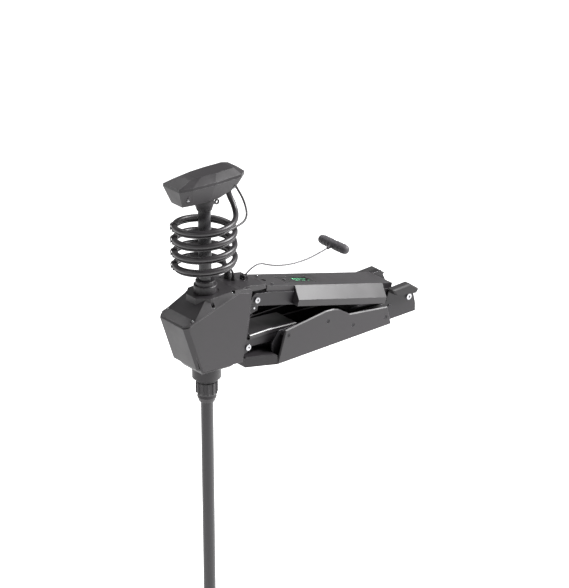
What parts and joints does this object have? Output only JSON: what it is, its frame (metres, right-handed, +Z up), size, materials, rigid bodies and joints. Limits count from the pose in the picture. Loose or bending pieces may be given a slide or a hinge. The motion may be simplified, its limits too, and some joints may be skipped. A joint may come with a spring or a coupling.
{
  "type": "trolling motor",
  "caption": "Bow-mount electric trolling motor: folding deck mount with arm and link, steered head on a long shaft, spring cable coil, pull cord, and a lower unit with propeller.",
  "frame": {"origin": "centre of the deck bolt pattern on the underside of the base channel", "axes": "+Z up from the deck, +X inboard (aft) along the deck, so the shaft stands at X -0.4 m off the bow; +Y to starboard when the bow points along -X (the pictured side, -Y, is port)"},
  "size_m": [0.904, 0.2528, 1.758],
  "materials": {
    "black_anodised": "satin anodised, near black",
    "charcoal_plastic": "fine-grained moulded plastic",
    "stainless": "bright stainless",
    "spring_steel": "satin",
    "acetal": "off-white bearing plastic",
    "clear_window": "smoked clear window with a green glow behind",
    "circuit_board": "solder-masked board",
    "black_rubber": "moulded rubber",
    "cable_jacket": "extruded cable jacket, semi-gloss",
    "pull_cord_jacket": "vinyl-coated wire cord",
    "composite_shaft": "pultruded composite",
    "cast_aluminium": "powder-coated casting",
    "propeller_plastic": "glass-filled nylon",
    "steel_dark": "plain steel",
    "ferrite": "ferrite magnet",
    "button_rubber": "soft button"
  },
  "bodies": {
    "base": {"base_channel": "black_anodised", "base_nose": "charcoal_plastic", "side_panels": "charcoal_plastic", "panel_screws": "stainless", "ramp_pads": "black_rubber", "pivot_pins_a": "stainless", "link_axle_d": "stainless", "assist_spring": "spring_steel"},
    "arm": {"arm_frame": "black_anodised", "arm_bushings": "acetal", "arm_cover": "charcoal_plastic", "display_bezel": "charcoal_plastic", "display_window": "clear_window", "display_board": "circuit_board", "arm_cover_screws": "stainless", "latch_keeper": "stainless"},
    "button": {"power_button": "button_rubber"},
    "link": {"link_bars": "black_anodised", "link_bushings": "acetal", "link_cover": "charcoal_plastic"},
    "housing": {"housing_body": "charcoal_plastic", "housing_cover": "charcoal_plastic", "housing_screws": "stainless", "hinge_bracket": "black_anodised", "bracket_bolts": "stainless", "sleeve_bearings": "acetal", "steering_motor": "steel_dark", "control_board": "circuit_board", "cable_glands": "black_rubber", "lead_down_thick": "cable_jacket", "lead_down_thin": "cable_jacket", "coil_lower": "cable_jacket", "coil_clips_lower": "charcoal_plastic"},
    "pinion": {"steering_pinion": "acetal"},
    "sleeve": {"drive_sleeve": "black_anodised", "ring_gear": "acetal", "shaft_bushings": "acetal", "top_collar": "charcoal_plastic"},
    "collar": {"depth_collar": "charcoal_plastic"},
    "shaft": {"shaft_tube": "composite_shaft", "head_base": "charcoal_plastic", "head_top": "charcoal_plastic", "head_screws": "stainless", "head_board": "circuit_board", "motor_body": "cast_aluminium", "nose_cone": "charcoal_plastic", "sonar_transducer": "black_rubber", "motor_end_bell": "cast_aluminium", "stator_magnets": "ferrite", "coil_upper": "cable_jacket", "coil_clips_upper": "charcoal_plastic", "lead_up_thick": "cable_jacket", "lead_up_thin": "cable_jacket"},
    "prop": {"rotor": "steel_dark", "propeller": "propeller_plastic", "prop_nut": "stainless"},
    "guide": {"cord_guide": "steel_dark", "pull_cord": "pull_cord_jacket"},
    "handle": {"pull_handle": "black_rubber"},
    "latch": {"latch_hook": "spring_steel"}
  },
  "joints": [
    {"name": "stow", "type": "hinge", "parent": "base", "child": "arm", "pos_m": [0.2817, 0, 0.0515], "axis": [0, 1, 0], "range_deg": [0, 166.26]},
    {"name": "link_fold", "type": "hinge", "parent": "base", "child": "link", "pos_m": [0.20871, 0, 0.04], "axis": [0, 1, 0], "range_deg": [0, 172.34]},
    {"name": "housing_fold", "type": "hinge", "parent": "arm", "child": "housing", "pos_m": [-0.2677, 0, 0.196], "axis": [0, 1, 0], "range_deg": [-76.27, 0]},
    {"name": "steer", "type": "hinge", "parent": "housing", "child": "sleeve", "pos_m": [-0.4, 0, 0], "axis": [0, 0, 1], "range_deg": [-180, 180], "deforming": ["coil_lower", "coil_clips_lower"]},
    {"name": "pinion_spin", "type": "hinge", "parent": "housing", "child": "pinion", "pos_m": [-0.448, 0, 0.16], "axis": [0, 0, 1], "range_deg": [-540.1, 540.1]},
    {"name": "collar_turn", "type": "hinge", "parent": "sleeve", "child": "collar", "pos_m": [-0.4, 0, -0.05], "axis": [0, 0, 1], "range_deg": [0, 270]},
    {"name": "depth", "type": "slide", "parent": "sleeve", "child": "shaft", "axis": [0, 0, -1], "range_m": [-0.25, 0.06], "deforming": ["coil_upper", "coil_clips_upper"]},
    {"name": "prop_spin", "type": "hinge", "parent": "shaft", "child": "prop", "pos_m": [-0.4, 0, -1.01], "axis": [1, 0, 0], "continuous": true},
    {"name": "power_press", "type": "slide", "parent": "arm", "child": "button", "axis": [-0.2544, 0, -0.9671], "range_m": [0, 0.0015], "stiffness_N_per_m": 600, "springref_m": -0.001},
    {"name": "cord_swing", "type": "hinge", "parent": "housing", "child": "guide", "pos_m": [-0.268, 0, 0.2465], "axis": [0, -1, 0], "range_deg": [0, 88.05]},
    {"name": "handle_pull", "type": "slide", "parent": "guide", "child": "handle", "axis": [1, 0, 0], "range_m": [0, 0.03], "stiffness_N_per_m": 400, "springref_m": -0.01, "deforming": ["pull_cord"]},
    {"name": "latch_turn", "type": "hinge", "parent": "housing", "child": "latch", "pos_m": [-0.268, 0, 0.168], "axis": [0, -1, 0], "range_deg": [0, 25.02]}
  ],
  "couplings": [
    {"joint": "link_fold", "follows": "stow", "ratio": 1.0365},
    {"joint": "housing_fold", "follows": "stow", "ratio": -0.45869},
    {"joint": "cord_swing", "follows": "stow", "ratio": 0.52928},
    {"joint": "pinion_spin", "follows": "steer", "ratio": -3},
    {"joint": "latch_turn", "follows": "handle_pull", "rad_per_m": 14.544}
  ]
}
